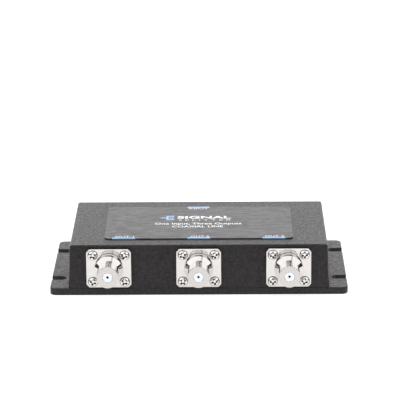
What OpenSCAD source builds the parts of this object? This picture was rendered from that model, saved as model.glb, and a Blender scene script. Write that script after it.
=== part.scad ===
// Passive three-way coaxial signal splitter.
// A cast housing stands on a slotted base plate. One flanged jack, the input, is at
// the back (+Y) and three, the outputs, are at the front (-Y). The origin is the
// middle of the base plate's underside and +Z is up.

/* [Base plate] */
// Width of the base plate over its two mounting ears
plate_w = 132.5; // [131:0.5:140]
// Depth of the base plate
plate_d = 72; // [71.5:0.5:78]
// Thickness of the base plate
plate_t = 3.2; // [2.8:0.1:3.6]
// Radius of the base plate's corners
plate_corner_r = 3; // [1:0.5:5]
// Width of each open-ended mounting slot
slot_w = 5; // [4.2:0.1:5.6]
// Distance between the round ends of a left and a right slot, at their centres
slot_spacing_x = 124.4; // [123:0.2:126]
// Distance between a front and a back slot
slot_spacing_y = 41; // [24:1:56]

/* [Housing] */
// Width of the housing where it meets the base plate
housing_w = 115.8; // [115:0.1:116]
// Depth of the housing
housing_d = 71.6; // [70:0.1:71.6]
// Height of the housing's top above the floor
housing_top = 22.8; // [22.6:0.1:26]
// Thickness of the walls and of the top
wall = 2.5; // [2.2:0.1:2.8]
// Distance that each side wall leans in between bottom and top
side_lean = 0.8; // [0:0.1:1]
// Radius of the outer edges and corners
edge_r = 1; // [1:0.1:2]
// Extra wall thickness behind each jack
pad_t = 2; // [1.5:0.1:2.5]

/* [Name plate] */
// Width of the name plate
name_w = 84.4; // [60:0.2:100]
// Depth of the name plate
name_d = 50.2; // [40:0.2:58]
// Distance of the name plate's middle behind the housing's middle
name_y = -1; // [-3:0.1:3]
// Thickness of the name plate
name_t = 0.4; // [0.3:0.1:1]
// Radius of the name plate's corners
name_corner_r = 2.5; // [1:0.1:4]
// Thickness of the adhesive sheet under the name plate
adhesive_t = 0.1; // [0.1:0.05:0.3]

/* [Jacks] */
// Distance between neighbouring output jacks
jack_pitch = 39.8; // [38:0.1:41]
// Height of every jack's axis above the floor
jack_z = 12.9; // [12.5:0.1:12.9]
// Width of a jack's flange
flange_w = 19.9; // [19:0.1:21]
// Height of a jack's flange
flange_h = 17.6; // [17:0.1:18]
// Thickness of a jack's flange
flange_t = 1.8; // [1.5:0.1:2.2]
// Length cut off each of the flange's corners
flange_cut = 1.3; // [0.5:0.1:1.6]
// Distance between the left and right flange screws
screw_spacing_x = 14; // [13.5:0.1:14.4]
// Distance between the lower and upper flange screws
screw_spacing_z = 12.2; // [12:0.1:12.6]
// Diameter of the round shoulder in front of the flange
shoulder_d = 13; // [12:0.1:13.4]
// Length of the round shoulder, without the cone that joins it to the barrel
shoulder_t = 2.4; // [1.5:0.1:3]
// Outer diameter of the 3/8-32 coupling thread
thread_d = 9.525; // [9.4:0.005:9.6]
// Distance from the housing's face to the jack's mouth
jack_reach = 15.4; // [14:0.1:17]
// Diameter of the white insulator's face
insulator_d = 4.3; // [4:0.1:5]
// Diameter of the hole for the plug's centre wire
wire_hole_d = 1; // [0.9:0.1:1.2]

/* [Fasteners] */
// Diameter of a flange screw's head
flange_screw_head_d = 4.2; // [3.8:0.1:4.6]
// Diameter of a flange screw's shank
flange_screw_d = 2.1; // [1.8:0.1:2.2]
// Diameter of a base screw's countersunk head
base_screw_head_d = 5.6; // [5.2:0.1:5.8]
// Diameter of a base screw's shank
base_screw_d = 2.9; // [2.5:0.1:3]
// Diameter of a board screw's head
board_screw_head_d = 4.6; // [4:0.1:5]
// Diameter of a board screw's shank
board_screw_d = 2.4; // [2:0.1:2.5]

/* [Circuit board] */
// Width of the circuit board
board_w = 100; // [96:1:100]
// Depth of the circuit board
board_d = 51; // [49:0.5:52]
// Thickness of the circuit board
board_t = 1.6; // [1.2:0.1:1.7]
// Distance between neighbouring arms of the divider
arm_pitch = 3; // [2.8:0.1:3.2]
// Length of each of the divider's three sections
section_l = 6; // [5:0.5:6.5]

/* [Hidden] */
$fn = 64;
hull_fn = 32;

// Joined solids reach this far into each other, and cutters this far past a face
eps = 0.5;
// Height of the thin slices that the housing's forms are pulled over
slice_h = 1;
// How far the adhesive and the foil stay back from the edge of what they lie on
sheet_inset = 0.5;
// Radial room around a screw's shank and around a jack's spigot
screw_room = 0.05;
spigot_room = 0.05;

// Housing
cavity_top = housing_top - wall;
cavity_r = 1.2;
pad_depth = wall + pad_t;
boss_r = 3.3;
boss_x = housing_w / 2 - wall - boss_r + eps;
boss_y = housing_d / 2 - wall - boss_r + eps;
boss_mid_x = jack_pitch / 2;
seal_w = 1.2;
seal_depth = 0.9;

// Base screws, driven from beneath
base_screw_sink = 0.15;
base_screw_l = 9;
base_head_t = (base_screw_head_d - base_screw_d) / 2;

// Cross recess of every screw: its width, and its span and depth as shares of the head's
recess_w = 0.55;
recess_span = 0.6;
recess_depth = 0.7;

// Circuit board: its track faces down, so that it can be soldered through the open bottom
foil_t = 0.1;
rear_pin_r = 0.5;
track_z = jack_z + rear_pin_r;
board_z = track_z + foil_t;
post_end_z = board_z + board_t + foil_t;
post_r = 3;
post_places = [[-30, 14], [30, 14], [-20, -15], [20, -15]];
board_screw_l = 5.5;
board_head_t = 1.6;
board_head_dome_r = 3.7;

// Divider: three arms side by side, joined at the head, with a resistor pair per section
head_y = 15;
sections = 3;
arm_widths = [1, 1.3, 1.6];
feed_w = 2.4;
feed_end_y = board_d / 2 - 1;
fan_y = head_y - sections * section_l;
resistor_l = 2.2;
resistor_w = 1.25;
resistor_t = 0.5;

// Jack, measured outward from the housing's face along its own axis
shoulder_end = flange_t + shoulder_t;
cone_l = (shoulder_d - thread_d) / 2;
rim_chamfer = 0.4;
nose_face = jack_reach - 0.25;
nose_back = nose_face - 2.3;
insulator_body_r = 3;
insulator_back = 2;
contact_r = 0.95;
contact_front = jack_reach - 1.7;
contact_back = insulator_back + 1;
contact_slit = 0.3;
contact_slit_l = 4;
spigot_r = 4;
spigot_l = pad_depth + 1;
rear_pin_end = housing_d / 2 - board_d / 2 + 2.5;
flange_screw_l = 6;
flange_head_t = 1.3;
flange_head_dome_r = 3.2;

// Each jack: its place along X and the side it is on, front (-1) or back (1)
JACKS = [[-jack_pitch, -1], [0, -1], [jack_pitch, -1], [0, 1]];

// Puts a jack's own axis, +Z, square to the housing's front or back face
module at_jack(i) {
    translate([JACKS[i][0], JACKS[i][1] * housing_d / 2, jack_z])
        rotate([90, 0, JACKS[i][1] < 0 ? 0 : 180])
            children();
}

module at_flange_screws() {
    for (sx = [-1, 1], sz = [-1, 1])
        translate([sx * screw_spacing_x / 2, sz * screw_spacing_z / 2, 0])
            children();
}

module at_base_screws() {
    for (x = [-boss_x, -boss_mid_x, boss_mid_x, boss_x], sy = [-1, 1])
        translate([x, sy * boss_y, 0])
            children();
}

module at_posts() {
    for (p = post_places)
        translate([p[0], p[1], 0])
            children();
}

// Flat outline with round corners
module round_rectangle(w, d, r) {
    square([w, d - 2 * r], center = true);
    square([w - 2 * r, d], center = true);
    for (sx = [-1, 1], sy = [-1, 1])
        translate([sx * (w / 2 - r), sy * (d / 2 - r)])
            circle(r);
}

// Flat rectangle with its corners cut off at 45 degrees
module cut_rectangle(w, h, cut) {
    x = w / 2;
    y = h / 2;
    polygon([
        [cut - x, -y], [x - cut, -y], [x, cut - y], [x, y - cut],
        [x - cut, y], [cut - x, y], [-x, y - cut], [-x, cut - y]
    ]);
}

// Cross-shaped driver recess, cut downwards from z = 0
module cross_recess(span, depth) {
    for (a = [0, 90])
        rotate(a)
            translate([-span / 2, -recess_w / 2, -depth])
                cube([span, recess_w, depth + eps]);
}

// Pan-head screw whose head stands on z = 0 and whose shank runs down
module pan_screw(head_d, head_t, dome_r, shank_d, shank_l, turn) {
    difference() {
        union() {
            intersection() {
                cylinder(d = head_d, h = head_t);
                translate([0, 0, head_t - dome_r])
                    sphere(dome_r);
            }
            translate([0, 0, -shank_l])
                cylinder(d = shank_d, h = shank_l + head_t / 2);
        }
        translate([0, 0, head_t])
            rotate(turn)
                cross_recess(head_d * recess_span, head_t * recess_depth);
    }
}

module housing_form() {
    hull()
        for (sx = [-1, 1], sy = [-1, 1]) {
            translate([sx * (housing_w / 2 - edge_r), sy * (housing_d / 2 - edge_r), plate_t])
                cylinder(r = edge_r, h = slice_h, $fn = hull_fn);
            translate([
                sx * (housing_w / 2 - side_lean - edge_r),
                sy * (housing_d / 2 - edge_r),
                housing_top - edge_r
            ])
                sphere(edge_r, $fn = hull_fn);
        }
}

module housing_cavity() {
    cavity_w = housing_w - 2 * wall;
    cavity_d = housing_d - 2 * wall;
    hull()
        for (sx = [-1, 1], sy = [-1, 1]) {
            translate([sx * (cavity_w / 2 - cavity_r), sy * (cavity_d / 2 - cavity_r), plate_t - eps])
                cylinder(r = cavity_r, h = slice_h, $fn = hull_fn);
            translate([
                sx * (cavity_w / 2 - side_lean - cavity_r),
                sy * (cavity_d / 2 - cavity_r),
                cavity_top - slice_h
            ])
                cylinder(r = cavity_r, h = slice_h, $fn = hull_fn);
        }
}

module seal_ring(height) {
    outer_w = housing_w - wall + seal_w;
    outer_d = housing_d - wall + seal_w;
    linear_extrude(height)
        difference() {
            round_rectangle(outer_w, outer_d, edge_r);
            round_rectangle(outer_w - 2 * seal_w, outer_d - 2 * seal_w, edge_r / 2);
        }
}

// Thicker stretch of wall behind a jack's flange
module jack_pad() {
    translate([-flange_w / 2, plate_t - jack_z, -pad_depth])
        cube([flange_w, cavity_top - plate_t + eps, pad_t + eps]);
}

module housing() {
    color("#2c2b2c")
        difference() {
            union() {
                difference() {
                    housing_form();
                    housing_cavity();
                }
                at_base_screws()
                    translate([0, 0, plate_t])
                        cylinder(r = boss_r, h = cavity_top - plate_t + eps);
                at_posts()
                    translate([0, 0, post_end_z])
                        cylinder(r = post_r, h = cavity_top - post_end_z + eps);
                for (i = [0 : len(JACKS) - 1])
                    at_jack(i)
                        jack_pad();
            }
            translate([0, 0, plate_t - eps])
                seal_ring(seal_depth + eps);
            at_base_screws()
                translate([0, 0, plate_t - eps])
                    cylinder(d = base_screw_d + 2 * screw_room, h = base_screw_l);
            at_posts()
                translate([0, 0, post_end_z - eps])
                    cylinder(d = board_screw_d + 2 * screw_room, h = board_screw_l);
            for (i = [0 : len(JACKS) - 1])
                at_jack(i) {
                    translate([0, 0, -pad_depth - eps])
                        cylinder(r = spigot_r + spigot_room, h = pad_depth + 2 * eps);
                    at_flange_screws()
                        translate([0, 0, -pad_depth - eps])
                            cylinder(d = flange_screw_d + 2 * screw_room, h = pad_depth + 2 * eps);
                }
        }
}

// One mounting slot, open at the ear's end; it runs outward along +X
module ear_slot() {
    translate([slot_spacing_x / 2, 0, -eps]) {
        cylinder(d = slot_w, h = plate_t + 2 * eps);
        translate([0, -slot_w / 2, 0])
            cube([plate_w / 2, slot_w, plate_t + 2 * eps]);
    }
}

module base_plate() {
    color("#2c2b2c")
        difference() {
            linear_extrude(plate_t)
                round_rectangle(plate_w, plate_d, plate_corner_r);
            for (turn = [0, 180], sy = [-1, 1])
                rotate(turn)
                    translate([0, sy * slot_spacing_y / 2, 0])
                        ear_slot();
            at_base_screws() {
                translate([0, 0, -eps])
                    cylinder(d = base_screw_d + 2 * screw_room, h = plate_t + 2 * eps);
                translate([0, 0, -eps])
                    cylinder(
                        d1 = base_screw_head_d + 2 * (base_screw_sink + eps),
                        d2 = base_screw_d,
                        h = base_head_t + base_screw_sink + eps
                    );
            }
        }
}

// Conductive elastomer cord in the groove of the housing's rim
module base_seal() {
    color("#3a3a3c")
        translate([0, 0, plate_t])
            seal_ring(seal_depth);
}

// Countersunk cross-head screws, driven up through the base plate
module base_screws() {
    color("#b9b6b2")
        at_base_screws()
            translate([0, 0, base_screw_sink])
                difference() {
                    union() {
                        cylinder(d1 = base_screw_head_d, d2 = base_screw_d, h = base_head_t);
                        cylinder(d = base_screw_d, h = base_screw_l - 2 * base_screw_sink);
                    }
                    mirror([0, 0, 1])
                        cross_recess(base_screw_head_d * recess_span, base_head_t * recess_depth);
                }
}

module name_plate() {
    color("#87878a")
        translate([0, name_y, housing_top + adhesive_t])
            linear_extrude(name_t)
                round_rectangle(name_w, name_d, name_corner_r);
}

module name_plate_adhesive() {
    color("#d8d4c8")
        translate([0, name_y, housing_top])
            linear_extrude(adhesive_t)
                round_rectangle(
                    name_w - 2 * sheet_inset,
                    name_d - 2 * sheet_inset,
                    name_corner_r - sheet_inset
                );
}

module circuit_board() {
    color("#2f5d3a")
        difference() {
            translate([-board_w / 2, -board_d / 2, board_z])
                cube([board_w, board_d, board_t]);
            at_posts()
                translate([0, 0, board_z - eps])
                    cylinder(d = board_screw_d + 4 * screw_room, h = board_t + 2 * eps);
        }
}

// Copper sheet over the whole of the board's upper face
module ground_foil() {
    color("#b87333")
        translate([0, 0, board_z + board_t])
            linear_extrude(foil_t)
                difference() {
                    square([board_w - 2 * sheet_inset, board_d - 2 * sheet_inset], center = true);
                    at_posts()
                        circle(d = board_screw_d + 4 * screw_room);
                }
}

module track_run(x, y0, y1, w) {
    translate([x - w / 2, min(y0, y1)])
        square([w, abs(y1 - y0)]);
}

module track_cross(x0, x1, y, w) {
    translate([min(x0, x1) - w / 2, y - w / 2])
        square([abs(x1 - x0) + w, w]);
}

// Copper track: the input feed, three stepped arms, and the runs out to the three outputs
module divider_track() {
    last_w = arm_widths[sections - 1];
    color("#b87333")
        translate([0, 0, track_z])
            linear_extrude(foil_t) {
                track_run(0, feed_end_y, head_y, feed_w);
                track_cross(-arm_pitch, arm_pitch, head_y, feed_w / 2);
                for (arm = [-1, 0, 1], k = [0 : sections - 1])
                    track_run(
                        arm * arm_pitch,
                        head_y - k * section_l,
                        head_y - (k + 1) * section_l,
                        arm_widths[k]
                    );
                for (arm = [-1, 1])
                    track_cross(arm * arm_pitch, arm * jack_pitch, fan_y, last_w);
                for (arm = [-1, 0, 1])
                    track_run(arm * jack_pitch, fan_y, -feed_end_y, last_w);
            }
}

// Chip resistors bridging neighbouring arms, one pair at the end of each section
module isolation_resistors() {
    color("#1c1c20")
        for (side = [-1, 1], k = [1 : sections])
            translate([
                side * arm_pitch / 2 - resistor_l / 2,
                head_y - k * section_l,
                track_z - resistor_t
            ])
                cube([resistor_l, resistor_w, resistor_t]);
}

// Cones of solder that join each jack's rear pin to the end of its track
module solder_joints() {
    foot_r = 1.3;
    top_r = 0.7;
    joint_h = 0.8;
    color("#c9ccd0")
        for (i = [0 : len(JACKS) - 1])
            at_jack(i)
                difference() {
                    translate([0, rear_pin_r, foot_r - rear_pin_end])
                        rotate([90, 0, 0])
                            cylinder(r1 = foot_r, r2 = top_r, h = joint_h);
                    translate([0, 0, -rear_pin_end - eps])
                        cylinder(r = rear_pin_r, h = 2 * foot_r + 2 * eps);
                }
}

module board_screws() {
    color("#c4c2bf")
        at_posts()
            translate([0, 0, board_z])
                mirror([0, 0, 1])
                    pan_screw(
                        board_screw_head_d, board_head_t, board_head_dome_r,
                        board_screw_d, board_screw_l, 0
                    );
}

// Sixteen pan-head screws, each left at its own angle
module flange_screws() {
    turn_step = 37;
    color("#d6d3cf")
        for (i = [0 : len(JACKS) - 1], sx = [0, 1], sz = [0, 1])
            at_jack(i)
                translate([(sx - 0.5) * screw_spacing_x, (sz - 0.5) * screw_spacing_z, flange_t])
                    pan_screw(
                        flange_screw_head_d, flange_head_t, flange_head_dome_r,
                        flange_screw_d, flange_screw_l, turn_step * (4 * i + 2 * sx + sz)
                    );
}

// Nickel-plated shell: flange, shoulder, cone, threaded barrel and rear spigot in one
module jack_shell(i) {
    color("#dcd8d3")
        at_jack(i)
            difference() {
                union() {
                    linear_extrude(flange_t)
                        cut_rectangle(flange_w, flange_h, flange_cut);
                    cylinder(d = shoulder_d, h = shoulder_end);
                    translate([0, 0, shoulder_end])
                        cylinder(d1 = shoulder_d, d2 = thread_d, h = cone_l);
                    cylinder(d = thread_d, h = jack_reach - rim_chamfer);
                    translate([0, 0, jack_reach - rim_chamfer])
                        cylinder(d1 = thread_d, d2 = thread_d - 2 * rim_chamfer, h = rim_chamfer);
                    translate([0, 0, -spigot_l])
                        cylinder(r = spigot_r, h = spigot_l + eps);
                }
                cylinder(d = insulator_d, h = jack_reach + eps);
                translate([0, 0, -spigot_l - eps])
                    cylinder(r = insulator_body_r, h = spigot_l + eps + nose_back);
                at_flange_screws()
                    translate([0, 0, -eps])
                        cylinder(d = flange_screw_d + 4 * screw_room, h = flange_t + 2 * eps);
            }
}

// White insulator: its narrow nose fills the jack's mouth and its body fills the barrel
module jack_insulator(i) {
    color("#e9edf4")
        at_jack(i)
            difference() {
                union() {
                    translate([0, 0, insulator_back])
                        cylinder(d = insulator_d, h = nose_face - insulator_back);
                    translate([0, 0, insulator_back])
                        cylinder(r = insulator_body_r, h = nose_back - insulator_back);
                }
                cylinder(d = wire_hole_d, h = jack_reach);
                cylinder(r = contact_r, h = contact_front);
            }
}

// Centre contact: a slit socket for the plug's wire, with a solid pin at its rear
module jack_contact(i) {
    color("#caa45a")
        at_jack(i)
            difference() {
                union() {
                    translate([0, 0, contact_back])
                        cylinder(r = contact_r, h = contact_front - contact_back);
                    translate([0, 0, -rear_pin_end])
                        cylinder(r = rear_pin_r, h = rear_pin_end + contact_back);
                }
                translate([0, 0, contact_front - 2 * contact_slit_l])
                    cylinder(d = wire_hole_d, h = 2 * contact_slit_l + eps);
                translate([-contact_r - eps, -contact_slit / 2, contact_front - contact_slit_l])
                    cube([2 * (contact_r + eps), contact_slit, contact_slit_l + eps]);
            }
}

// Plain bush that closes the rear of the shell and holds the contact's pin
module jack_rear_bush(i) {
    color("#f2f2ee")
        at_jack(i)
            translate([0, 0, -spigot_l])
                difference() {
                    cylinder(r = insulator_body_r, h = spigot_l + insulator_back);
                    translate([0, 0, -eps])
                        cylinder(r = rear_pin_r, h = spigot_l + insulator_back + 2 * eps);
                }
}

housing();
base_plate();
base_seal();
base_screws();
name_plate();
name_plate_adhesive();
circuit_board();
divider_track();
ground_foil();
isolation_resistors();
solder_joints();
board_screws();
flange_screws();
jack_shell(0);  // output_1_shell
jack_insulator(0);  // output_1_insulator
jack_contact(0);  // output_1_contact
jack_rear_bush(0);  // output_1_rear_bush
jack_shell(1);  // output_2_shell
jack_insulator(1);  // output_2_insulator
jack_contact(1);  // output_2_contact
jack_rear_bush(1);  // output_2_rear_bush
jack_shell(2);  // output_3_shell
jack_insulator(2);  // output_3_insulator
jack_contact(2);  // output_3_contact
jack_rear_bush(2);  // output_3_rear_bush
jack_shell(3);  // input_shell
jack_insulator(3);  // input_insulator
jack_contact(3);  // input_contact
jack_rear_bush(3);  // input_rear_bush
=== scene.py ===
"""Looks of a three-way coaxial signal splitter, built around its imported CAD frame.

Sizes are written in millimetres and turned into metres by MM when a mesh is made.
"""
import math

import bmesh
import bpy
from mathutils import Matrix, Vector


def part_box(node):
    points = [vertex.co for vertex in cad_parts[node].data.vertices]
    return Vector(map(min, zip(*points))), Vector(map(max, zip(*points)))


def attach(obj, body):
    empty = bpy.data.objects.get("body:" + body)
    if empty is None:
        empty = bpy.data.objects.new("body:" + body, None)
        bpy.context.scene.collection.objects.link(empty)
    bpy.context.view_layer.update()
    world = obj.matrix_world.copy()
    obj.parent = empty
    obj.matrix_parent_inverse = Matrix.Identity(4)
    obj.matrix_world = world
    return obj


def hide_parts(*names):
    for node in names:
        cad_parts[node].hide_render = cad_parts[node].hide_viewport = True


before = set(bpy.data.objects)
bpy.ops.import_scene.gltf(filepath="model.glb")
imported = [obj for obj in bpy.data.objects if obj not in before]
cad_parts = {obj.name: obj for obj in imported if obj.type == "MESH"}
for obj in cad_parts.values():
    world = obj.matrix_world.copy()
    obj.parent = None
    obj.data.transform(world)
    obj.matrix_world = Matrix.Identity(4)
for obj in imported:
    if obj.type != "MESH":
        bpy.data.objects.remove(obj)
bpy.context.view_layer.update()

MM = 0.001
BODY = "root"
JACKS = ("output_1", "output_2", "output_3", "input")


# ---------------------------------------------------------------- sizes from the frame

def box_mm(node):
    """Lowest and highest corner of a CAD node, in millimetres."""
    low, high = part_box(node)
    return Vector(low) / MM, Vector(high) / MM


plate_low, plate_high = box_mm("base_plate")
housing_low, housing_high = box_mm("housing")
name_low, name_high = box_mm("name_plate")
shell_low, shell_high = box_mm("output_2_shell")

PLATE_W = plate_high.x - plate_low.x
PLATE_D = plate_high.y - plate_low.y
PLATE_T = plate_high.z
HOUSING_W = housing_high.x - housing_low.x
HOUSING_D = housing_high.y - housing_low.y
HOUSING_TOP = housing_high.z
NAME_W = name_high.x - name_low.x
NAME_D = name_high.y - name_low.y
NAME_TOP = name_high.z
NAME_Y = (name_high.y + name_low.y) / 2
FLANGE_W = shell_high.x - shell_low.x
FLANGE_H = shell_high.z - shell_low.z
JACK_Z = (shell_high.z + shell_low.z) / 2
JACK_REACH = abs(shell_low.y) - HOUSING_D / 2

# Sizes that the frame's boxes don't tell
PLATE_CORNER_R = 3.0
SLOT_W = 5.0
SLOT_END_X = 62.2
SLOT_Y = 20.5
SIDE_LEAN = 0.8
EDGE_R = 1.0
NAME_CORNER_R = 2.5
FLANGE_T = 1.8
FLANGE_CUT = 1.3
SHOULDER_R = 6.5
SHOULDER_END = FLANGE_T + 2.4
THREAD_R = 4.7625
THREAD_PITCH = 25.4 / 32
SPIGOT_R = 4.0
SPIGOT_L = 5.5
BODY_BORE_R = 3.0
NOSE_R = 2.15
NOSE_FACE = JACK_REACH - 0.25
NOSE_BACK = NOSE_FACE - 2.3
WIRE_HOLE_R = 0.5
FLANGE_SCREW_X = 7.0
FLANGE_SCREW_Z = 6.1
FLANGE_HEAD_R = 2.1
FLANGE_HEAD_T = 1.3
BASE_HEAD_R = 2.8
BASE_SHANK_R = 1.45
BASE_SCREW_SINK = 0.15
HEAD_EDGE_R = 0.08
INK_T = 0.02


# ---------------------------------------------------------------- materials

def new_material(name):
    """An empty node material: (material, tree, principled shader, object coordinates)."""
    mat = bpy.data.materials.new(name)
    mat.use_nodes = True
    tree = mat.node_tree
    tree.nodes.clear()
    out = tree.nodes.new("ShaderNodeOutputMaterial")
    shader = tree.nodes.new("ShaderNodeBsdfPrincipled")
    coords = tree.nodes.new("ShaderNodeTexCoord")
    tree.links.new(shader.outputs["BSDF"], out.inputs["Surface"])
    return mat, tree, shader, coords.outputs["Object"]


def noise(tree, coords, scale, detail=3.0, roughness=0.55, stretch=(1, 1, 1)):
    """Noise in object space; scale is in features per millimetre."""
    mapping = tree.nodes.new("ShaderNodeMapping")
    mapping.inputs["Scale"].default_value = [s * scale / MM for s in stretch]
    tex = tree.nodes.new("ShaderNodeTexNoise")
    tex.inputs["Scale"].default_value = 1.0
    tex.inputs["Detail"].default_value = detail
    tex.inputs["Roughness"].default_value = roughness
    tree.links.new(coords, mapping.inputs["Vector"])
    tree.links.new(mapping.outputs["Vector"], tex.inputs["Vector"])
    return tex.outputs["Fac"]


def remap(tree, value, low, high, from_low=0.3, from_high=0.7):
    """A noise value spread over the range low to high."""
    node = tree.nodes.new("ShaderNodeMapRange")
    node.inputs["From Min"].default_value = from_low
    node.inputs["From Max"].default_value = from_high
    node.inputs["To Min"].default_value = low
    node.inputs["To Max"].default_value = high
    tree.links.new(value, node.inputs["Value"])
    return node.outputs["Result"]


def two_tone(tree, value, dark, light):
    """A colour between dark and light that follows a noise value."""
    ramp = tree.nodes.new("ShaderNodeValToRGB")
    ramp.color_ramp.elements[0].position = 0.3
    ramp.color_ramp.elements[0].color = (*dark, 1)
    ramp.color_ramp.elements[1].position = 0.7
    ramp.color_ramp.elements[1].color = (*light, 1)
    tree.links.new(value, ramp.inputs["Fac"])
    return ramp.outputs["Color"]


def bump(tree, shader, height, distance_mm, strength):
    """Bump on the shader's normal, from a height between 0 and 1."""
    node = tree.nodes.new("ShaderNodeBump")
    node.inputs["Distance"].default_value = distance_mm * MM
    node.inputs["Strength"].default_value = strength
    tree.links.new(height, node.inputs["Height"])
    tree.links.new(node.outputs["Normal"], shader.inputs["Normal"])


def powder_coat():
    """Black powder coat: fine bumps whose crests catch the light."""
    mat, tree, shader, coords = new_material("powder_coat")
    grain = noise(tree, coords, 0.75, detail=3.0, roughness=0.7)
    cloud = noise(tree, coords, 0.05, detail=2.0)
    tree.links.new(two_tone(tree, cloud, (0.0106, 0.0104, 0.0111), (0.0136, 0.0132, 0.0141)),
                   shader.inputs["Base Color"])
    tree.links.new(remap(tree, grain, 0.32, 0.54), shader.inputs["Roughness"])
    tree.links.new(remap(tree, grain, 0.42, 0.22), shader.inputs["Specular IOR Level"])
    shader.inputs["Specular Tint"].default_value = (1.0, 0.91, 0.935, 1)
    bump(tree, shader, grain, 0.25, 1.0)
    return mat


def brushed_plate():
    """Dark anodised sheet, brushed from left to right."""
    mat, tree, shader, coords = new_material("brushed_name_plate")
    streak = noise(tree, coords, 1.0, detail=4.0, roughness=0.75, stretch=(0.2, 0.75, 0.75))
    fine = noise(tree, coords, 1.0, detail=2.0, stretch=(0.25, 4.0, 4.0))
    streak = remap(tree, streak, 0.2, 0.8, 0.38, 0.62)
    tree.links.new(two_tone(tree, streak, (0.045, 0.0442, 0.0455), (0.112, 0.1098, 0.1128)),
                   shader.inputs["Base Color"])
    tree.links.new(remap(tree, fine, 0.40, 0.54), shader.inputs["Roughness"])
    shader.inputs["Metallic"].default_value = 0.5
    bump(tree, shader, fine, 0.012, 0.6)
    return mat


def nickel(name, tint, rough_low, rough_high):
    """Mirror-like plated metal, with slow changes of tone and gloss."""
    mat, tree, shader, coords = new_material(name)
    cloud = noise(tree, coords, 0.35, detail=3.0)
    dark = tuple(0.95 * c for c in tint)
    tree.links.new(two_tone(tree, cloud, dark, tint), shader.inputs["Base Color"])
    tree.links.new(remap(tree, cloud, rough_low, rough_high), shader.inputs["Roughness"])
    shader.inputs["Metallic"].default_value = 1.0
    bump(tree, shader, noise(tree, coords, 1.2, detail=2.0), 0.004, 0.3)
    return mat


def plain_plastic(name, dark, light, rough_low, rough_high):
    """Anything that isn't metal: plastic, rubber, ink, and the near-black painted shade laid in
    hollows, with a fine grain.
    """
    mat, tree, shader, coords = new_material(name)
    grain = noise(tree, coords, 1.5)
    tree.links.new(two_tone(tree, grain, dark, light), shader.inputs["Base Color"])
    tree.links.new(remap(tree, grain, rough_low, rough_high), shader.inputs["Roughness"])
    bump(tree, shader, grain, 0.01, 0.4)
    return mat


def plain_metal(name, dark, light, rough_low, rough_high):
    """Duller metal, between two tones."""
    mat, tree, shader, coords = new_material(name)
    cloud = noise(tree, coords, 0.8)
    tree.links.new(two_tone(tree, cloud, dark, light), shader.inputs["Base Color"])
    tree.links.new(remap(tree, cloud, rough_low, rough_high), shader.inputs["Roughness"])
    shader.inputs["Metallic"].default_value = 1.0
    bump(tree, shader, cloud, 0.005, 0.3)
    return mat


COAT = powder_coat()
PLATE = brushed_plate()
NICKEL = nickel("nickel_plate", (0.63, 0.605, 0.59), 0.05, 0.10)
SATIN = nickel("turned_mouth", (0.57, 0.543, 0.527), 0.22, 0.30)
SCREW_NICKEL = nickel("screw_nickel", (0.74, 0.72, 0.69), 0.08, 0.16)
ZINC = nickel("zinc_plate", (0.60, 0.60, 0.61), 0.22, 0.35)
# Painted shade: a near-black material laid on the faces of screw recesses, screw seats and wire
# holes, where shade falls.
PAINTED_SHADE = plain_plastic("painted_shade_dark", (0.012, 0.010, 0.008), (0.035, 0.03, 0.026), 0.5, 0.7)
INSULATOR = plain_plastic("white_insulator", (0.82, 0.86, 0.93), (0.86, 0.90, 0.97), 0.35, 0.5)
INK_BLUE = plain_plastic("blue_ink", (0.25, 0.46, 0.74), (0.28, 0.49, 0.77), 0.35, 0.5)
INK_WHITE = plain_plastic("white_ink", (0.78, 0.79, 0.80), (0.84, 0.85, 0.86), 0.35, 0.5)
INNER = {
    "base_seal": plain_plastic("seal_rubber", (0.02, 0.02, 0.02), (0.04, 0.04, 0.042), 0.6, 0.8),
    "name_plate_adhesive": plain_plastic("adhesive", (0.6, 0.58, 0.5), (0.7, 0.67, 0.6), 0.5, 0.7),
    "circuit_board": plain_plastic("board_green", (0.03, 0.10, 0.05), (0.05, 0.14, 0.07), 0.3, 0.45),
    "divider_track": plain_metal("copper_track", (0.62, 0.33, 0.22), (0.78, 0.45, 0.32), 0.2, 0.35),
    "isolation_resistors": plain_plastic("resistor_body", (0.02, 0.02, 0.02), (0.04, 0.04, 0.05),
                                         0.4, 0.6),
    "solder_joints": plain_metal("solder", (0.60, 0.61, 0.63), (0.76, 0.77, 0.79), 0.2, 0.35),
    "board_screws": ZINC,
}
INNER["ground_foil"] = INNER["divider_track"]
# Bronze contact, its tone darkened as painted shade for the depth of the hole it sits in.
CONTACT_PAINTED_SHADE = plain_metal("contact_bronze_painted_shade", (0.30, 0.21, 0.10), (0.42, 0.31, 0.16), 0.3, 0.45)
BUSH = plain_plastic("rear_bush", (0.74, 0.74, 0.72), (0.80, 0.80, 0.78), 0.4, 0.5)


# ---------------------------------------------------------------- mesh helpers

def make_object(name, mesh, *materials):
    """An object in the scene, with its materials."""
    obj = bpy.data.objects.new(name, mesh)
    bpy.context.scene.collection.objects.link(obj)
    for material in materials:
        mesh.materials.append(material)
    return obj


def mesh_from(verts_mm, faces, name):
    """A mesh from points in millimetres, its faces turned outward."""
    mesh = bpy.data.meshes.new(name)
    mesh.from_pydata([Vector(v) * MM for v in verts_mm], [], faces)
    work = bmesh.new()
    work.from_mesh(mesh)
    bmesh.ops.recalc_face_normals(work, faces=work.faces)
    work.to_mesh(mesh)
    work.free()
    return mesh


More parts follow.
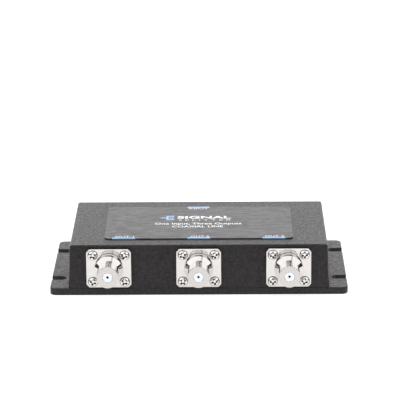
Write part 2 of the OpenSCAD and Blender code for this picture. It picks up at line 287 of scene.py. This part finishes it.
def soften(mesh, angle_deg):
    """Smooth shading, with edges sharper than the angle kept crisp, and wide flat faces kept
    flat up to the bevels round them."""
    bevel_deg, wide_share, quad = 5, 20, 4
    mesh.shade_smooth()
    mesh.set_sharp_from_angle(angle=math.radians(angle_deg))
    work = bmesh.new()
    work.from_mesh(mesh)
    for edge in work.edges:
        if len(edge.link_faces) == 2 and edge.calc_face_angle() > math.radians(bevel_deg):
            wide = max(edge.link_faces, key=lambda face: face.calc_area())
            narrow = min(edge.link_faces, key=lambda face: face.calc_area())
            if len(wide.verts) > quad and wide.calc_area() > wide_share * narrow.calc_area():
                edge.smooth = False
    work.to_mesh(mesh)
    work.free()


def modified(mesh, build):
    """The mesh after the modifiers that build(obj) adds, with nothing left behind."""
    obj = bpy.data.objects.new("work", mesh)
    bpy.context.scene.collection.objects.link(obj)
    helpers = build(obj) or []
    graph = bpy.context.evaluated_depsgraph_get()
    result = bpy.data.meshes.new_from_object(obj.evaluated_get(graph))
    for extra in [obj, *helpers]:
        bpy.data.objects.remove(extra)
    return result


def bevelled(mesh, width_mm, segments=3, angle_deg=40):
    """The mesh with its edges rounded where they are sharper than the angle."""
    def build(obj):
        mod = obj.modifiers.new("bevel", "BEVEL")
        mod.width = width_mm * MM
        mod.segments = segments
        mod.limit_method = "ANGLE"
        mod.angle_limit = math.radians(angle_deg)
        mod.use_clamp_overlap = False
    return modified(mesh, build)


def combined(mesh, other, operation):
    """Boolean of two closed meshes."""
    def build(obj):
        tool = bpy.data.objects.new("tool", other)
        bpy.context.scene.collection.objects.link(tool)
        mod = obj.modifiers.new("boolean", "BOOLEAN")
        mod.operation = operation
        mod.solver = "EXACT"
        mod.object = tool
        return [tool]
    return modified(mesh, build)


def joined(meshes, name):
    """Several meshes as one, each kept as its own closed shell."""
    work = bmesh.new()
    for mesh in meshes:
        work.from_mesh(mesh)
    result = bpy.data.meshes.new(name)
    work.to_mesh(result)
    work.free()
    return result


def moved(mesh, matrix):
    """A copy of the mesh, moved; a mirrored one keeps its faces outward."""
    copy = mesh.copy()
    copy.transform(matrix)
    if matrix.determinant() < 0:
        copy.flip_normals()
    return copy


def arc(cx, cy, r, start_deg, end_deg, steps):
    """Points on an arc, both ends included."""
    span = end_deg - start_deg
    angles = [math.radians(start_deg + span * k / steps) for k in range(steps + 1)]
    return [(cx + r * math.cos(a), cy + r * math.sin(a)) for a in angles]


def round_rectangle(w, d, r, steps=10):
    """Outline of a rectangle with round corners, anticlockwise."""
    x, y = w / 2 - r, d / 2 - r
    corners = ((x, y, 0), (-x, y, 90), (-x, -y, 180), (x, -y, 270))
    return [p for cx, cy, a in corners for p in arc(cx, cy, r, a, a + 90, steps)]


def prism(outline, z0, z1, name="prism"):
    """A closed solid: the flat outline pulled up from z0 to z1."""
    n = len(outline)
    verts = [(x, y, z) for z in (z0, z1) for x, y in outline]
    faces = [list(range(n))[::-1], list(range(n, 2 * n))]
    faces += [[k, (k + 1) % n, n + (k + 1) % n, n + k] for k in range(n)]
    return mesh_from(verts, faces, name)


def loft(rings, name="loft"):
    """A closed solid through rings of equal length, capped at both ends."""
    n = len(rings[0])
    verts = [v for ring in rings for v in ring]
    faces = [list(range(n))[::-1], list(range(n * (len(rings) - 1), n * len(rings)))]
    for row in range(len(rings) - 1):
        base = row * n
        faces += [[base + k, base + (k + 1) % n, base + n + (k + 1) % n, base + n + k]
                  for k in range(n)]
    return mesh_from(verts, faces, name)


def turned(profile, steps=96, name="turned"):
    """A solid of revolution about Z from a closed profile of (radius, height) points.

    A radius may be a function of the angle, in turns."""
    verts, rows = [], []
    for r, z in profile:
        radius = r if callable(r) else (lambda turn, value=r: value)
        if not callable(r) and r == 0:
            rows.append([len(verts)])
            verts.append((0, 0, z))
            continue
        rows.append([len(verts) + k for k in range(steps)])
        for k in range(steps):
            turn = k / steps
            a = 2 * math.pi * turn
            verts.append((radius(turn) * math.cos(a), radius(turn) * math.sin(a), z))
    faces = []
    pairs = list(zip(rows, rows[1:] + rows[:1]))
    if len(rows[0]) == 1 and len(rows[-1]) == 1:
        pairs = pairs[:-1]
    for low, high in pairs:
        for k in range(steps):
            after = (k + 1) % steps
            if len(low) == 1:
                faces.append([low[0], high[after], high[k]])
            elif len(high) == 1:
                faces.append([low[k], low[after], high[0]])
            else:
                faces.append([low[k], low[after], high[after], high[k]])
    return mesh_from(verts, faces, name)


def finish_piece(name, mesh, materials, nodes=(), angle_deg=35):
    """Shades a mesh, makes it a piece that rides on the body, and hides the CAD nodes that it stands
    for.
    """
    soften(mesh, angle_deg)
    obj = make_object(name, mesh, *materials)
    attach(obj, BODY)
    if nodes:
        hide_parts(*nodes)
    return obj


# ---------------------------------------------------------------- housing and base plate

def housing_mesh():
    """Leaning sides, filleted edges and a fine seam chamfer where it meets the plate."""
    seam, corner_extra, least_corner, flat_inset = 0.03, 0.5, 0.4, 0.3
    z_fillet = HOUSING_TOP - EDGE_R
    steps = 8
    levels = [(seam, PLATE_T), (0, PLATE_T + seam), (0, PLATE_T + 2 * seam)]
    height = HOUSING_TOP - PLATE_T
    levels.append((SIDE_LEAN * (z_fillet - PLATE_T) / height, z_fillet))
    for k in range(1, steps + 1):
        a = math.radians(90 * k / steps)
        z = z_fillet + EDGE_R * math.sin(a)
        levels.append((SIDE_LEAN * (z - PLATE_T) / height + EDGE_R * (1 - math.cos(a)), z))
    rings = []
    for inset, z in levels:
        corner = max(EDGE_R + corner_extra - inset, least_corner)
        ring = round_rectangle(HOUSING_W - 2 * inset, HOUSING_D - 2 * inset, corner)
        rings.append([(x, y, z) for x, y in ring])
    top_inset = levels[-1][0] + flat_inset
    ring = round_rectangle(HOUSING_W - 2 * top_inset, HOUSING_D - 2 * top_inset, flat_inset)
    rings.append([(x, y, HOUSING_TOP) for x, y in ring])
    return loft(rings, "housing_body")


def plate_outline():
    """Rectangle with round corners and four slots that open at the ears' ends."""
    def ear(sign):
        # the right ear from bottom to top (sign 1), or the left ear from top to bottom (-1)
        x, y, r = PLATE_W / 2, PLATE_D / 2, PLATE_CORNER_R
        points = arc(x - r, r - y, r, 270, 360, 8)
        for slot_y in (-SLOT_Y, SLOT_Y):
            points.append((x, slot_y - SLOT_W / 2))
            points += arc(SLOT_END_X, slot_y, SLOT_W / 2, 270, 90, 16)
            points.append((x, slot_y + SLOT_W / 2))
        points += arc(x - r, y - r, r, 0, 90, 8)
        return [(sign * px, sign * py) for px, py in points]
    return ear(1) + ear(-1)


def base_screw_places():
    """Centres of the countersunk screws, worked out from the CAD screws' box."""
    high = box_mm("base_screws")[1]
    x_out, y_out = high.x - BASE_HEAD_R, high.y - BASE_HEAD_R
    x_in = jack_x(2) / 2
    return [(x, y) for x in (-x_out, -x_in, x_in, x_out) for y in (-y_out, y_out)]


def jack_x(index):
    """The x of a jack's middle."""
    low, high = box_mm(JACKS[index] + "_shell")
    return (low.x + high.x) / 2


def base_plate_mesh():
    """The plate with rounded edges and a countersunk hole for each base screw."""
    edge_r, gap, past = 0.35, 0.12, 1
    mesh = bevelled(prism(plate_outline(), 0, PLATE_T, "base_plate_body"), edge_r)
    depth = BASE_HEAD_R - BASE_SHANK_R
    sink = [(0, -past), (BASE_HEAD_R + gap + past, -past),
            (BASE_HEAD_R + gap + BASE_SCREW_SINK, 0),
            (BASE_SHANK_R + gap, depth + BASE_SCREW_SINK), (BASE_SHANK_R + gap, PLATE_T + past),
            (0, PLATE_T + past)]
    cutter = turned(sink, 40)
    cutters = joined([moved(cutter, Matrix.Translation((x * MM, y * MM, 0)))
                      for x, y in base_screw_places()], "countersinks")
    return combined(mesh, cutters, "DIFFERENCE")


finish_piece("housing_body", housing_mesh(), [COAT], ["housing"], 50)
finish_piece("base_plate_body", base_plate_mesh(), [COAT], ["base_plate"])


# ---------------------------------------------------------------- screws

def cross_cutter(reach, width, depth, top):
    """A cross-shaped recess that narrows with depth, as a driver's tip does."""
    def cross(scale, z):
        a, b = reach * scale, width / 2 * (0.4 + 0.6 * scale)
        points = [(a, -b), (a, b), (b, b), (b, a), (-b, a), (-b, b),
                  (-a, b), (-a, -b), (-b, -b), (-b, -a), (b, -a), (b, -b)]
        return [(x, y, z) for x, y in points]
    return loft([cross(0.45, top - depth), cross(1.0, top), cross(1.15, top + 0.4)], "cross")


def darken(mesh, material_index, chosen):
    """Gives the faces whose centre and normal are chosen another of the mesh's materials."""
    for face in mesh.polygons:
        if chosen(face.center / MM, face.normal):
            face.material_index = material_index


def pan_head():
    """Pan head with a low dome and a cross recess; its underside is at z = 0."""
    wall_t, flat_share = 0.38, 0.42
    steps = 10
    profile = [(0, 0), (FLANGE_HEAD_R - HEAD_EDGE_R, 0), (FLANGE_HEAD_R, HEAD_EDGE_R),
               (FLANGE_HEAD_R, wall_t)]
    for k in range(1, steps + 1):
        a = math.radians(90 * k / steps)
        radius = FLANGE_HEAD_R * (flat_share + (1 - flat_share) * math.cos(a))
        profile.append((radius, wall_t + (FLANGE_HEAD_T - wall_t) * math.sin(a)))
    profile.append((0, FLANGE_HEAD_T))
    head = turned(profile, 48)
    reach, width, depth = 1.5, 0.9, 0.95
    mesh = combined(head, cross_cutter(reach, width, depth, FLANGE_HEAD_T), "DIFFERENCE")

    def recess_wall(centre, _normal):
        radius = math.hypot(centre.x, centre.y)
        share = max(radius / FLANGE_HEAD_R - flat_share, 0) / (1 - flat_share)
        surface = wall_t + (FLANGE_HEAD_T - wall_t) * math.sqrt(max(1 - share * share, 0))
        return 0.3 < radius < reach + 0.1 and centre.z < surface - 0.04
    # Painted shade: the walls of the cross recess get the near-black material.
    darken(mesh, 1, recess_wall)
    return mesh


def countersunk_head():
    """Flat countersunk head with its shank, seen from beneath; the face is at z = 0."""
    length, rim = 7.0, 0.1
    reach, width, recess_depth = 1.55, 0.75, 1.1
    depth = BASE_HEAD_R - BASE_SHANK_R
    profile = [(0, 0), (BASE_HEAD_R - rim, 0), (BASE_HEAD_R, rim), (BASE_SHANK_R, depth),
               (BASE_SHANK_R, length), (0, length)]
    head = turned(profile, 48)
    recess = moved(cross_cutter(reach, width, recess_depth, 0), Matrix.Diagonal((1, 1, -1, 1)))
    mesh = combined(head, recess, "DIFFERENCE")
    # Painted shade: the walls of the cross recess get the near-black material.
    darken(mesh, 1, lambda centre, normal: 0 < centre.z < recess_depth - 0.05
           and math.hypot(centre.x, centre.y) < reach - 0.05 and abs(normal.z) < 0.8)
    return mesh


def jack_matrix(index):
    """From a jack's own frame (right, up, outward) to the row frame."""
    low, high = box_mm(JACKS[index] + "_shell")
    side = -1 if low.y + high.y < 0 else 1
    face = Vector((jack_x(index), side * HOUSING_D / 2, JACK_Z)) * MM
    right = Vector((-side, 0, 0))
    up = Vector((0, 0, 1))
    out = Vector((0, side, 0))
    turn = Matrix((right, up, out)).transposed().to_4x4()
    return Matrix.Translation(face) @ turn


# How far each screw was turned when it came tight, in degrees: bottom left, bottom right,
# top left, top right of each jack
SCREW_TURNS = ((70, 55, 32, 70), (40, 12, 28, 17), (0, 75, 10, 5), (22, 61, 48, 9))


def flange_screw_meshes():
    """All the pan heads on the four flanges."""
    head = pan_head()
    meshes = []
    for index in range(len(JACKS)):
        corners = [(sx, sz) for sz in (-1, 1) for sx in (-1, 1)]
        for (sx, sz), turn in zip(corners, SCREW_TURNS[index]):
            place = Matrix.Translation((sx * FLANGE_SCREW_X * MM, sz * FLANGE_SCREW_Z * MM,
                                        FLANGE_T * MM))
            spin = Matrix.Rotation(math.radians(turn), 4, "Z")
            meshes.append(moved(head, jack_matrix(index) @ place @ spin))
    return joined(meshes, "flange_screw_heads")


def base_screw_meshes():
    """All the countersunk screws, each turned a little further than the last."""
    turn_step = 31
    head = countersunk_head()
    meshes = []
    for k, (x, y) in enumerate(base_screw_places()):
        place = Matrix.Translation((x * MM, y * MM, BASE_SCREW_SINK * MM))
        spin = Matrix.Rotation(math.radians(turn_step * k), 4, "Z")
        meshes.append(moved(head, place @ spin))
    return joined(meshes, "base_screw_heads")


finish_piece("flange_screw_heads", flange_screw_meshes(), [SCREW_NICKEL, PAINTED_SHADE],
             ["flange_screws"])
finish_piece("base_screw_heads", base_screw_meshes(), [ZINC, PAINTED_SHADE],
             ["base_screws"])


# ---------------------------------------------------------------- jacks

def thread_radius(z):
    """Radius at height z as a function of the angle in turns: a right-hand 60-degree thread."""
    depth = 0.61 * THREAD_PITCH
    root_share, flank_share = 0.125, 0.7

    def radius(turn):
        phase = (z / THREAD_PITCH - turn) % 1.0
        away = abs(phase - 0.5) * 2
        tooth = min(max((away - root_share) / flank_share, 0), 1)
        return THREAD_R - depth * (1 - tooth)
    return radius


def shell_master():
    """One jack shell in its own frame: flange, shoulder, cone, thread, mouth and bore."""
    x, y, cut = FLANGE_W / 2, FLANGE_H / 2, FLANGE_CUT
    outline = [(cut - x, -y), (x - cut, -y), (x, cut - y), (x, y - cut),
               (x - cut, y), (cut - x, y), (-x, y - cut), (-x, cut - y)]
    flange = bevelled(prism(outline, 0, FLANGE_T, "flange"), 0.25, 3, 20)
    seat_in, seat_out, seat_depth = FLANGE_HEAD_R - 0.03, FLANGE_HEAD_R + 0.17, 0.22
    seat = turned([(seat_in, FLANGE_T - seat_depth), (seat_out, FLANGE_T - seat_depth),
                   (seat_out, FLANGE_T + 0.5), (seat_in, FLANGE_T + 0.5)], 48, "seat")
    places = [(sx * FLANGE_SCREW_X, sz * FLANGE_SCREW_Z) for sx in (-1, 1) for sz in (-1, 1)]
    seats = joined([moved(seat, Matrix.Translation((px * MM, py * MM, 0)))
                    for px, py in places], "seats")
    flange = combined(flange, seats, "DIFFERENCE")
    wall_end, taper_end, taper_deg = FLANGE_T + 0.9, SHOULDER_END + 0.1, 7
    taper_r = SHOULDER_R - (taper_end - wall_end) * math.tan(math.radians(taper_deg))
    cone_end = taper_end + taper_r - THREAD_R
    relief_r = THREAD_R - 0.35
    thread_start, thread_end = cone_end + 0.7, JACK_REACH - 0.75
    rows_per_turn, inside_flange = 10, FLANGE_T / 2
    rows = round((thread_end - thread_start) / THREAD_PITCH * rows_per_turn)
    profile = [(BODY_BORE_R, -SPIGOT_L), (SPIGOT_R, -SPIGOT_L), (SPIGOT_R, inside_flange),
               (SHOULDER_R, inside_flange), (SHOULDER_R, wall_end), (taper_r, taper_end),
               (THREAD_R, cone_end), (THREAD_R, cone_end + 0.1), (relief_r, cone_end + 0.35),
               (relief_r, thread_start)]
    for k in range(1, rows):
        z = thread_start + (thread_end - thread_start) * k / rows
        profile.append((thread_radius(z), z))
    rim, rim_steps, mouth_chamfer = 0.1, 8, 0.15
    profile.append((THREAD_R, thread_end))
    for k in range(rim_steps + 1):
        a = math.radians(90 * k / rim_steps)
        profile.append((THREAD_R - rim * (1 - math.cos(a)), JACK_REACH - rim * (1 - math.sin(a))))
    profile += [(NOSE_R + mouth_chamfer, JACK_REACH), (NOSE_R, JACK_REACH - mouth_chamfer),
                (NOSE_R, NOSE_BACK), (BODY_BORE_R, NOSE_BACK)]
    body = turned(profile, 96, "turned_body")
    mesh = combined(flange, body, "UNION")

    def in_seat(centre, _normal):
        near = min(math.hypot(centre.x - px, centre.y - py) for px, py in places)
        deep = FLANGE_T - 0.3 < centre.z < FLANGE_T - 0.01
        return deep and seat_in - 0.03 < near < seat_out + 0.03
    # Painted shadow: the seat ring round each screw head gets the near-black material.
    darken(mesh, 1, in_seat)
    darken(mesh, 2, lambda centre, _normal: centre.z > JACK_REACH - rim)
    return mesh


def insulator_master():
    """White insulator: a shallow funnel that leads to the hole for the centre wire."""
    hole_r, chamfer, dip, back = WIRE_HOLE_R + 0.05, 0.1, 0.6, 2.0
    profile = [(WIRE_HOLE_R, back), (BODY_BORE_R, back), (BODY_BORE_R, NOSE_BACK),
               (NOSE_R, NOSE_BACK), (NOSE_R, NOSE_FACE - chamfer), (NOSE_R - chamfer, NOSE_FACE),
               (NOSE_R - 3 * chamfer, NOSE_FACE), (hole_r, NOSE_FACE - dip),
               (WIRE_HOLE_R, NOSE_FACE - 1.5 * dip)]
    mesh = turned(profile, 64, "insulator")
    # Painted shade: the wall of the wire hole gets the near-black material.
    darken(mesh, 1, lambda centre, _normal: centre.z < NOSE_FACE - dip
           and math.hypot(centre.x, centre.y) < hole_r + 0.02)
    return mesh


def make_jacks():
    """A copy of the shell and of the insulator at each jack."""
    shell, insulator = shell_master(), insulator_master()
    for index, jack in enumerate(JACKS):
        place = jack_matrix(index)
        finish_piece(jack + "_shell_turned", moved(shell, place), [NICKEL, PAINTED_SHADE, SATIN],
                     [jack + "_shell"], 5)
        finish_piece(jack + "_insulator_nose", moved(insulator, place), [INSULATOR, PAINTED_SHADE],
                     [jack + "_insulator"])


make_jacks()


# ---------------------------------------------------------------- name plate and its print

def flat_rectangle(x0, x1, y0, y1):
    """Outline of a rectangle, anticlockwise."""
    return [(x0, y0), (x1, y0), (x1, y1), (x0, y1)]


def ink(outline):
    """A printed shape lying on the name plate, placed from the plate's middle."""
    return prism([(x, y + NAME_Y) for x, y in outline], NAME_TOP, NAME_TOP + INK_T, "ink")


def lettering(text, x0, x1, y0, y1, weight):
    """Words as a thin printed mesh that fills the given rectangle."""
    curve = bpy.data.curves.new("letters", "FONT")
    curve.body = text
    curve.extrude = INK_T * MM / 2
    curve.offset = weight
    curve.resolution_u = 3
    obj = bpy.data.objects.new("letters", curve)
    bpy.context.scene.collection.objects.link(obj)
    graph = bpy.context.evaluated_depsgraph_get()
    mesh = bpy.data.meshes.new_from_object(obj.evaluated_get(graph))
    bpy.data.objects.remove(obj)
    xs = [v.co.x for v in mesh.vertices]
    ys = [v.co.y for v in mesh.vertices]
    scale_x = (x1 - x0) * MM / (max(xs) - min(xs))
    scale_y = (y1 - y0) * MM / (max(ys) - min(ys))
    place = Matrix.Translation((x0 * MM, (NAME_Y + y0) * MM, (NAME_TOP + INK_T / 2) * MM))
    mesh.transform(place @ Matrix.Diagonal((scale_x, scale_y, 1, 1))
                   @ Matrix.Translation((-min(xs), -min(ys), 0)))
    return mesh


def make_name_plate():
    """The brushed sheet, the blue bars and sign, and the white words."""
    outline = round_rectangle(NAME_W, NAME_D, NAME_CORNER_R, 12)
    sheet = prism([(x, y + NAME_Y) for x, y in outline], name_low.z, NAME_TOP, "name_plate_sheet")
    finish_piece("name_plate_sheet", bevelled(sheet, 0.15, 2), [PLATE], ["name_plate"])
    half_d = NAME_D / 2 - 0.05
    bar_half, front_bar_d, back_bar_d = 5.1, 1.35, 1.9
    out_x, back_bar_x = 33.5, -0.5
    bars = [flat_rectangle(x - bar_half, x + bar_half, -half_d, front_bar_d - half_d)
            for x in (-out_x, 0, out_x)]
    bars.append(flat_rectangle(back_bar_x - bar_half, back_bar_x + bar_half,
                               half_d - back_bar_d, half_d))
    sign = branch_sign(-17.7, -11.3, 3.6, 10.0)
    front = NAME_Y - NAME_D / 2
    edges = [prism(flat_rectangle(x - bar_half, x + bar_half, front - INK_T, front),
                   name_low.z + 0.02, NAME_TOP - 0.1, "bar_edge") for x in (-out_x, 0, out_x)]
    finish_piece("name_plate_blue_print", joined([ink(o) for o in bars + sign] + edges, "blue_print"),
                 [INK_BLUE])
    words = [
        lettering("SIGNAL", -10.0, 14.6, 5.6, 9.7, 0.03),
        lettering("S P L I T T E R", -9.4, 14.5, 2.5, 4.1, 0.0),
        lettering("One Input, Three Outputs", -20.1, 19.2, -4.5, -1.0, 0.012),
        lettering("COAXIAL LINE", -12.2, 10.8, -8.2, -5.4, 0.008),
        lettering("INPUT", -4.9, 3.9, half_d - back_bar_d - 2.3, half_d - back_bar_d - 0.4, 0.0),
    ]
    over_bar = front_bar_d - half_d
    for number, x in enumerate((-out_x, 0.2, out_x), 1):
        words.append(lettering("OUT %d" % number, x - 3.9, x + 4.4, over_bar + 0.4,
                               over_bar + 2.4, 0.0))
    finish_piece("name_plate_white_print", joined(words, "white_print"), [INK_WHITE])


def branch_sign(x0, x1, y0, y1):
    """One line that splits into three: a plain sign for what the object does."""
    mid = (y0 + y1) / 2
    half, bar, fork_share = 0.55, 0.9, 0.42
    fork = x0 + (x1 - x0) * fork_share
    shapes = [flat_rectangle(x0, fork, mid - half, mid + half),
              flat_rectangle(fork, fork + bar, y0, y1)]
    for y in (y0 + half, mid, y1 - half):
        shapes.append(flat_rectangle(fork + bar, x1 - bar, y - half, y + half))
        shapes.append([(x1 - bar, y - 2 * half), (x1, y), (x1 - bar, y + 2 * half)])
    return shapes


make_name_plate()


# ---------------------------------------------------------------- inner nodes keep their CAD shape

def paint(node, material):
    """Gives a CAD node its material."""
    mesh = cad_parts[node].data
    mesh.materials.clear()
    mesh.materials.append(material)


for node_name, inner_material in INNER.items():
    paint(node_name, inner_material)
for jack_name in JACKS:
    paint(jack_name + "_contact", CONTACT_PAINTED_SHADE)
    paint(jack_name + "_rear_bush", BUSH)


# ---------------------------------------------------------------- stage, light and camera

# The studio around the object, as directions: x to the right, y to the back and z up,
# each from -1 to 1. It is white, apart from these places, each with its reach along
# x, y and z and its brightness.
FAR = 2
DARK_PLACES = {
    "in front, under the table": ((-FAR, FAR), (-FAR, 0.45), (-FAR, 0.03), 0.05),
    "left side, low down": ((-FAR, -0.68), (-FAR, FAR), (-FAR, 0.27), 0.07),
    "right side, low down": ((0.68, FAR), (-FAR, FAR), (-FAR, 0.27), 0.05),
    "low in front": ((-FAR, FAR), (-FAR, -0.6), (-FAR, 0.12), 0.05),
    "edge of the light overhead": ((-0.3, 0.3), (-0.26, -0.1), (0.7, FAR), 0.75),
    "light stand in front": ((-0.235, 0.058), (-FAR, -0.45), (0.46, 0.88), 0.65),
    "photographer in front": ((0.058, 0.36), (-FAR, -0.45), (0.46, 0.88), 0.2),
    "boom overhead": ((0.25, 0.38), (-0.45, -0.12), (0.7, FAR), 0.85),
    "gap between the lights": ((-0.40, 0.50), (0.22, 0.56), (0.6, FAR), 0.08),
}
SIDE_LIGHT = 1.6
BACK_LIGHT = 1.85
CEILING_LIGHT = 1.55
BACKDROP = 1.3
TABLE_GLOW = 0.76
TABLE_HALF_W = 0.32
TABLE_FRONT = -0.22
TABLE_BACK = 1.3
TABLE_Z = -0.00002


def make_floor():
    """A plain white table that glows a little, as a light table does."""
    mesh = bpy.data.meshes.new("floor")
    w, z = TABLE_HALF_W, TABLE_Z
    mesh.from_pydata([(-w, TABLE_FRONT, z), (w, TABLE_FRONT, z), (w, TABLE_BACK, z),
                      (-w, TABLE_BACK, z)], [], [[0, 1, 2, 3]])
    mat, tree, shader, coords = new_material("pale_floor")
    cloud = noise(tree, coords, 0.004)
    tree.links.new(two_tone(tree, cloud, (0.44, 0.44, 0.44), (0.46, 0.46, 0.46)),
                   shader.inputs["Base Color"])
    shader.inputs["Roughness"].default_value = 0.8
    shader.inputs["Specular IOR Level"].default_value = 0.1
    shader.inputs["Emission Color"].default_value = (1, 1, 1, 1)
    shader.inputs["Emission Strength"].default_value = TABLE_GLOW
    make_object("floor", mesh, mat)


def direction_step(tree, value, low, high):
    """0 below low and 1 above high, with a smooth change between them."""
    node = tree.nodes.new("ShaderNodeMapRange")
    node.interpolation_type = "SMOOTHSTEP"
    node.inputs["From Min"].default_value = low
    node.inputs["From Max"].default_value = high
    tree.links.new(value, node.inputs["Value"])
    return node.outputs["Result"]


def combine(tree, operation, *values):
    """Maths on node outputs and numbers, from left to right."""
    result = values[0]
    for value in values[1:]:
        node = tree.nodes.new("ShaderNodeMath")
        node.operation = operation
        for slot, item in enumerate((result, value)):
            if isinstance(item, (int, float)):
                node.inputs[slot].default_value = item
            else:
                tree.links.new(item, node.inputs[slot])
        result = node.outputs["Value"]
    return result


def between(tree, value, low, high, soft=0.02):
    """1 where the value lies between low and high, 0 elsewhere."""
    return combine(tree, "MULTIPLY", direction_step(tree, value, low - soft, low + soft),
                   direction_step(tree, value, high + soft, high - soft))


def grey_mix(tree, factor, first, second):
    """A grey between two greys, which are numbers or node outputs."""
    node = tree.nodes.new("ShaderNodeMix")
    node.data_type = "RGBA"
    for name, grey in (("A", first), ("B", second)):
        if isinstance(grey, (int, float)):
            node.inputs[name].default_value = (grey, grey, grey, 1)
        else:
            tree.links.new(grey, node.inputs[name])
    tree.links.new(factor, node.inputs["Factor"])
    return node.outputs["Result"]


def make_world():
    """A white studio, brightest above and behind, with a few dark places that the metal
    mirrors."""
    world = bpy.data.worlds.new("studio")
    bpy.context.scene.world = world
    world.use_nodes = True
    tree = world.node_tree
    tree.nodes.clear()
    out = tree.nodes.new("ShaderNodeOutputWorld")
    back = tree.nodes.new("ShaderNodeBackground")
    coords = tree.nodes.new("ShaderNodeTexCoord")
    parts = tree.nodes.new("ShaderNodeSeparateXYZ")
    tree.links.new(coords.outputs["Generated"], parts.inputs["Vector"])
    x, y, z = (parts.outputs[axis] for axis in "XYZ")

    light = grey_mix(tree, direction_step(tree, y, 0.3, 0.6), SIDE_LIGHT, BACK_LIGHT)
    light = grey_mix(tree, direction_step(tree, z, 0.45, 0.7), light, CEILING_LIGHT)
    for across, behind, height, brightness in DARK_PLACES.values():
        place = combine(tree, "MULTIPLY", between(tree, x, *across), between(tree, y, *behind),
                        between(tree, z, *height))
        light = grey_mix(tree, place, light, brightness)
    seen = tree.nodes.new("ShaderNodeLightPath")
    light = grey_mix(tree, seen.outputs["Is Camera Ray"], light, BACKDROP)
    tree.links.new(light, back.inputs["Color"])
    back.inputs["Strength"].default_value = 1.0
    tree.links.new(back.outputs["Background"], out.inputs["Surface"])


def area_light(name, place, size, power):
    """A soft light aimed at the object, which the metal doesn't mirror."""
    data = bpy.data.lights.new(name, "AREA")
    data.shape = "RECTANGLE"
    data.size, data.size_y = size
    data.energy = power
    obj = bpy.data.objects.new(name, data)
    obj.location = place
    aim = Vector((0, 0, 0)) - Vector(place)
    obj.rotation_euler = aim.to_track_quat("-Z", "Y").to_euler()
    obj.visible_glossy = False
    bpy.context.scene.collection.objects.link(obj)


def make_camera():
    """A long lens a little over a metre away, almost 18 degrees above the table."""
    distance, elevation = 1.1232, math.radians(17.681)
    aside = 0.010413
    pitch, yaw, roll = math.radians(16.039), math.radians(-0.534), math.radians(-0.413)
    data = bpy.data.cameras.new("camera")
    data.sensor_width = 36.0
    data.lens = 220.44
    data.dof.use_dof = False
    data.clip_start, data.clip_end = 0.05, 20.0
    obj = bpy.data.objects.new("camera", data)
    bpy.context.scene.collection.objects.link(obj)
    ahead = Vector((math.sin(yaw) * math.cos(pitch), math.cos(yaw) * math.cos(pitch),
                    -math.sin(pitch)))
    level = ahead.cross(Vector((0, 0, 1))).normalized()
    upright = level.cross(ahead)
    right = level * math.cos(roll) + upright * math.sin(roll)
    up = upright * math.cos(roll) - level * math.sin(roll)
    turn = Matrix((right, up, -ahead)).transposed().to_4x4()
    place = Vector((aside, -distance * math.cos(elevation), distance * math.sin(elevation)))
    obj.matrix_world = Matrix.Translation(place) @ turn
    bpy.context.scene.camera = obj


make_floor()
make_world()
area_light("top_softbox", (0, 0.1, 1.2), (1.2, 0.8), 3)
make_camera()
bpy.context.scene.view_settings.view_transform = "Standard"
